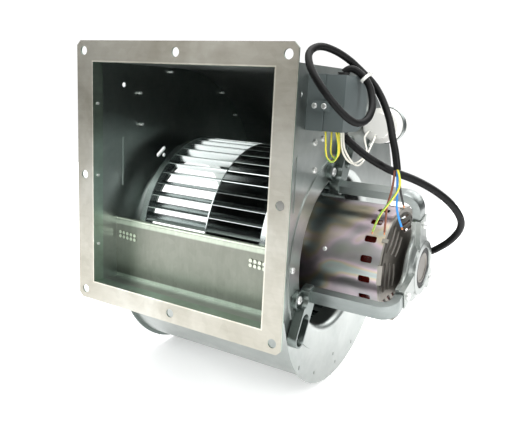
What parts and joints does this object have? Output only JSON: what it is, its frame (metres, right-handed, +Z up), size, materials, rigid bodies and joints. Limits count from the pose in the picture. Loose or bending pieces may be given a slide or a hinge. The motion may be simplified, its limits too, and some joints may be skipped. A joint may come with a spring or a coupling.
{
  "type": "double inlet centrifugal blower",
  "caption": "Sheet steel scroll blower with a flanged outlet, a forward-curved wheel and a motor hung in one inlet, with terminal box, capacitor and cable.",
  "frame": {"origin": "centre of the outlet flange's front face", "axes": "-Y is the way the air leaves, +X points to the motor along the wheel's axis, +Z is up"},
  "size_m": [0.4599, 0.408, 0.4607],
  "materials": {
    "galvanised": "spangled zinc, satin",
    "wheel_steel": "bright zinc, satin",
    "zinc_passivated": "yellow-violet passivated zinc, glossy",
    "shield_grey": "brown-grey passivated, satin",
    "arm_steel": "zinc plated, satin",
    "cast_alloy": "die cast, satin",
    "shaft_steel": "ground",
    "lamination": "stacked sheet, matt",
    "winding_red": "dark red varnish",
    "bronze": "sintered",
    "screw_zinc": "bright zinc",
    "rubber_black": "matt",
    "box_grey": "fine textured",
    "terminal_white": "matt",
    "cable_black": "satin",
    "core_brown": "satin",
    "core_blue": "satin",
    "core_green_yellow": "satin, green and yellow",
    "core_black": "satin",
    "lead_white": "satin",
    "capacitor_white": "satin",
    "nylon": "translucent"
  },
  "bodies": {
    "housing": {"arm_clamp_screws": "screw_zinc", "arm_foot_bolts": "screw_zinc", "bearing_inner": "bronze", "bearing_outer": "bronze", "cable_tie": "nylon", "capacitor_can": "capacitor_white", "capacitor_cap": "capacitor_white", "capacitor_clip": "arm_steel", "capacitor_lead_lower": "lead_white", "capacitor_lead_upper": "lead_white", "capacitor_screws": "screw_zinc", "capacitor_tags": "screw_zinc", "cord_clamp": "box_grey", "cord_clamp_screws": "screw_zinc", "core_black": "core_black", "core_blue": "core_blue", "core_brown": "core_brown", "core_yellow_green": "core_green_yellow", "cutoff_plate": "galvanised", "earth_wire_front": "core_green_yellow", "earth_wire_rear": "core_green_yellow", "end_shield_inner": "shield_grey", "end_shield_outer": "shield_grey", "housing_screws": "screw_zinc", "inlet_ring_left": "galvanised", "inlet_ring_right": "galvanised", "motor_arm_lower": "arm_steel", "motor_arm_upper": "arm_steel", "motor_cable": "cable_black", "motor_cable_gland": "rubber_black", "motor_entry_gland": "rubber_black", "motor_shell": "zinc_passivated", "motor_spider": "cast_alloy", "outlet_flange": "galvanised", "rubber_ring": "rubber_black", "scroll_wrap": "galvanised", "shell_rivets": "screw_zinc", "side_plate_left": "galvanised", "side_plate_right": "galvanised", "stator_core": "lamination", "stator_winding_inner": "winding_red", "stator_winding_outer": "winding_red", "supply_cable": "cable_black", "supply_gland": "rubber_black", "terminal_block": "terminal_white", "terminal_box_base": "box_grey", "terminal_box_cover": "box_grey", "terminal_box_screws": "screw_zinc"},
    "wheel": {"impeller_disc": "wheel_steel", "impeller_blades_left": "wheel_steel", "impeller_blades_right": "wheel_steel", "impeller_end_ring_left": "wheel_steel", "impeller_end_ring_right": "wheel_steel", "impeller_hub": "wheel_steel", "hub_rivets": "wheel_steel", "hub_clamp_screw": "screw_zinc", "motor_shaft": "shaft_steel", "rotor_core": "lamination"}
  },
  "joints": [
    {"name": "wheel_spin", "type": "hinge", "parent": "housing", "child": "wheel", "pos_m": [0, 0.19, -0.0915], "axis": [1, 0, 0], "continuous": true}
  ]
}
